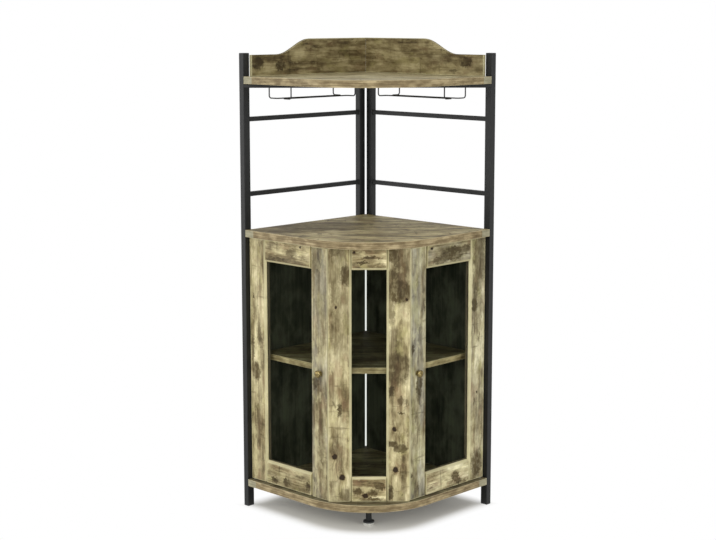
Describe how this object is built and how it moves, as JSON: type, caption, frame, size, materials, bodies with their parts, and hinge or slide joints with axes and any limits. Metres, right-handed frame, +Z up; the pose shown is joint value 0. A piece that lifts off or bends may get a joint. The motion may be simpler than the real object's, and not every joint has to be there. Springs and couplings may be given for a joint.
{
  "type": "corner bar cabinet",
  "caption": "Corner bar cabinet: steel side frames, round-nosed boards, glazed doors either side of a glazed panel, open serving bay, wire glass racks and a gallery shelf.",
  "frame": {"origin": "on the floor, at the centre of the bounding box", "axes": "+Z up; -Y is the front, where the round nose of the boards points into the room; the room's corner is at the back, at +Y; +X is to the right seen from the front"},
  "size_m": [0.782, 0.663, 1.4645],
  "materials": {
    "weathered_wood": "matt printed wood grain, olive tan with dark blotches and knots",
    "black_steel": "satin black powder coat",
    "black_panel": "matt black melamine",
    "glass": "clear, lightly tinted",
    "antique_bronze": "antique, rubbed on the high places",
    "zinc_steel": "zinc plated",
    "black_plastic": "matt moulded",
    "grey_plastic": "matt moulded, black flange above a pale grey pad"
  },
  "bodies": {
    "carcass": {"base_board": "weathered_wood", "worktop": "weathered_wood", "top_shelf": "weathered_wood", "inner_shelf": "weathered_wood", "left_gallery": "weathered_wood", "right_gallery": "weathered_wood", "left_front_post": "black_steel", "left_rear_post": "black_steel", "right_front_post": "black_steel", "right_rear_post": "black_steel", "left_front_glide": "black_plastic", "left_rear_glide": "black_plastic", "right_front_glide": "black_plastic", "right_rear_glide": "black_plastic", "left_base_rail": "black_steel", "left_worktop_rail": "black_steel", "left_lower_rail": "black_steel", "left_upper_rail": "black_steel", "left_shelf_rail": "black_steel", "right_base_rail": "black_steel", "right_worktop_rail": "black_steel", "right_lower_rail": "black_steel", "right_upper_rail": "black_steel", "right_shelf_rail": "black_steel", "front_cross_bar": "black_steel", "left_side_panel": "black_panel", "right_side_panel": "black_panel", "left_front_peg": "zinc_steel", "left_rear_peg": "zinc_steel", "right_front_peg": "zinc_steel", "right_rear_peg": "zinc_steel", "left_magnetic_catch": "black_plastic", "right_magnetic_catch": "black_plastic", "left_door_top_pin": "zinc_steel", "left_door_bottom_pin": "zinc_steel", "right_door_top_pin": "zinc_steel", "right_door_bottom_pin": "zinc_steel", "left_rack_wall_wire": "black_steel", "left_rack_room_wire": "black_steel", "right_rack_wall_wire": "black_steel", "right_rack_room_wire": "black_steel", "centre_panel_left_stile": "weathered_wood", "centre_panel_right_stile": "weathered_wood", "centre_panel_top_rail": "weathered_wood", "centre_panel_bottom_rail": "weathered_wood", "centre_panel_glass": "glass", "centre_leg": "black_steel"},
    "left_door": {"left_door_outer_stile": "weathered_wood", "left_door_inner_stile": "weathered_wood", "left_door_top_rail": "weathered_wood", "left_door_bottom_rail": "weathered_wood", "left_door_glass": "glass", "left_door_knob": "antique_bronze"},
    "right_door": {"right_door_outer_stile": "weathered_wood", "right_door_inner_stile": "weathered_wood", "right_door_top_rail": "weathered_wood", "right_door_bottom_rail": "weathered_wood", "right_door_glass": "glass", "right_door_knob": "antique_bronze"},
    "levelling_foot": {"centre_foot": "grey_plastic"}
  },
  "joints": [
    {"name": "left_door_hinge", "type": "hinge", "parent": "carcass", "child": "left_door", "pos_m": [-0.35355, -0.05034, 0.0894], "axis": [0, 0, -1], "range_deg": [0, 90]},
    {"name": "right_door_hinge", "type": "hinge", "parent": "carcass", "child": "right_door", "pos_m": [0.35355, -0.05034, 0.0894], "axis": [0, 0, 1], "range_deg": [0, 90]},
    {"name": "foot_screw", "type": "slide", "parent": "carcass", "child": "levelling_foot", "axis": [0, 0, -1], "range_m": [0, 0.01]}
  ]
}
